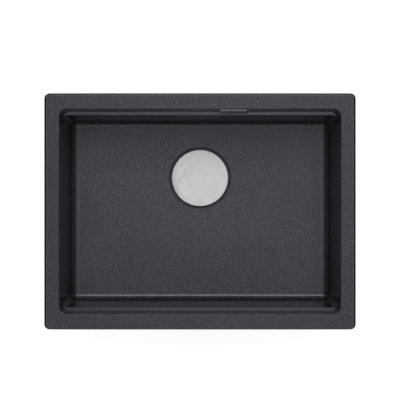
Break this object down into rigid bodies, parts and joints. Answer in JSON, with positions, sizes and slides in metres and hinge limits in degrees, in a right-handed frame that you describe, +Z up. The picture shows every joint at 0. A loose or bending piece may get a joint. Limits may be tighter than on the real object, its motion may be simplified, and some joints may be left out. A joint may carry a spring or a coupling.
{
  "type": "undermount kitchen sink",
  "caption": "Rectangular undermount kitchen sink in dark granite composite, with front and back ledges, a covered basket waste and a wall overflow.",
  "frame": {"origin": "middle of the rim's top face, which lies against the underside of the worktop", "axes": "+Z up, +X along the sink, +Y towards the wall behind it"},
  "size_m": [0.58, 0.44, 0.2925],
  "materials": {
    "granite_composite": "matt, finely speckled",
    "brushed_steel": "brushed",
    "black_polymer": "moulded, fine texture",
    "grey_polymer": "moulded, satin",
    "black_rubber": "matt",
    "brass": "turned",
    "plated_steel": "zinc plated",
    "gunmetal_steel": "brushed, coated dark grey"
  },
  "bodies": {
    "sink": {"sink_bowl": "granite_composite", "waste_flange": "brushed_steel", "overflow_cover": "gunmetal_steel", "waste_body": "black_polymer", "overflow_frame": "black_polymer", "overflow_housing": "black_polymer", "hose_nuts": "black_polymer", "overflow_hose": "grey_polymer", "flange_gasket": "black_rubber", "body_gasket": "black_rubber", "overflow_gasket": "black_rubber", "hose_seals": "black_rubber", "clamp_nut": "brass", "cartridge_body": "brass", "cartridge_cap": "brass", "centre_bolt": "plated_steel", "cartridge_spring": "plated_steel", "overflow_screws": "plated_steel"},
    "plunger": {"cartridge_plunger": "grey_polymer"},
    "basket": {"strainer_basket": "brushed_steel", "stopper_plate": "black_polymer", "stopper_seal": "black_rubber", "basket_knob": "black_polymer"},
    "cover": {"waste_cover": "brushed_steel", "cover_boss": "black_polymer"}
  },
  "joints": [
    {"name": "push_to_open", "type": "slide", "parent": "sink", "child": "plunger", "axis": [0, 0, 1], "range_m": [0, 0.007], "deforming": ["cartridge_spring"]},
    {"name": "basket_lift", "type": "slide", "parent": "plunger", "child": "basket", "axis": [0, 0, 1], "range_m": [0, 0.05]},
    {"name": "cover_lift", "type": "slide", "parent": "basket", "child": "cover", "axis": [0, 0, 1], "range_m": [0, 0.03]}
  ]
}
